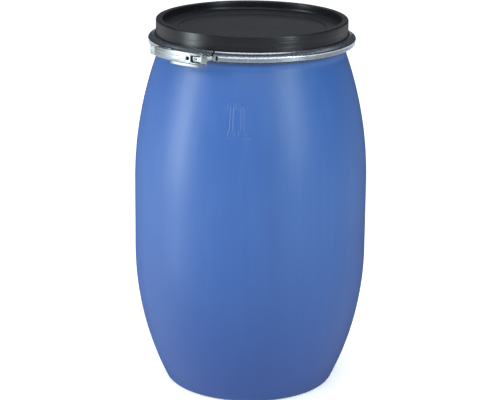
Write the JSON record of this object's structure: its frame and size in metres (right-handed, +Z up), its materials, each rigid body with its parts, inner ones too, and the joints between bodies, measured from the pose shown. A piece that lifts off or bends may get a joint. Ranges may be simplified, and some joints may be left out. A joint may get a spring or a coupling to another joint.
{
  "type": "plastic open head drum",
  "caption": "Bulging blue plastic open head drum with a black recessed lid and a galvanised lever-lock clamp ring.",
  "frame": {"origin": "centre of the base on the floor, on the drum's axis", "axes": "+Z up along the drum's axis; the front, which the embossed arrows face, is -Y"},
  "size_m": [0.4978, 0.498, 0.8],
  "materials": {
    "body_plastic": "satin blue high-density polyethylene, blow moulded",
    "lid_plastic": "satin black high-density polyethylene, injection moulded",
    "seal_foam": "closed-cell sealing foam",
    "ring_steel": "galvanised sheet steel",
    "closure_steel": "bright zinc-plated steel"
  },
  "bodies": {
    "drum": {"drum_body": "body_plastic"},
    "lid": {"lid": "lid_plastic", "lid_seal": "seal_foam"},
    "clamp_ring": {"clamp_band": "ring_steel", "gap_bridge": "ring_steel", "lever_bracket": "closure_steel", "lever_pin": "closure_steel", "bracket_rivet_1": "closure_steel", "bracket_rivet_2": "closure_steel", "seal_lug": "closure_steel", "seal_lug_rivet": "closure_steel"},
    "lever": {"lever": "closure_steel", "link_pin": "closure_steel"},
    "link": {"tension_link": "closure_steel"}
  },
  "joints": [
    {"name": "lid_lift", "type": "slide", "parent": "drum", "child": "lid", "axis": [0, 0, 1], "range_m": [0, 0.4]},
    {"name": "ring_lift", "type": "slide", "parent": "lid", "child": "clamp_ring", "axis": [0, 0, 1], "range_m": [0, 0.12], "deforming": ["clamp_band"]},
    {"name": "lever_swing", "type": "hinge", "parent": "clamp_ring", "child": "lever", "pos_m": [-0.10351, -0.20315, 0.7525], "axis": [0, 0, 1], "range_deg": [0, 100]},
    {"name": "link_swing", "type": "hinge", "parent": "lever", "child": "link", "pos_m": [-0.11509, -0.19725, 0.7525], "axis": [0, 0, 1], "range_deg": [-100, 0]}
  ],
  "couplings": [
    {"joint": "link_swing", "follows": "lever_swing", "ratio": -1}
  ]
}
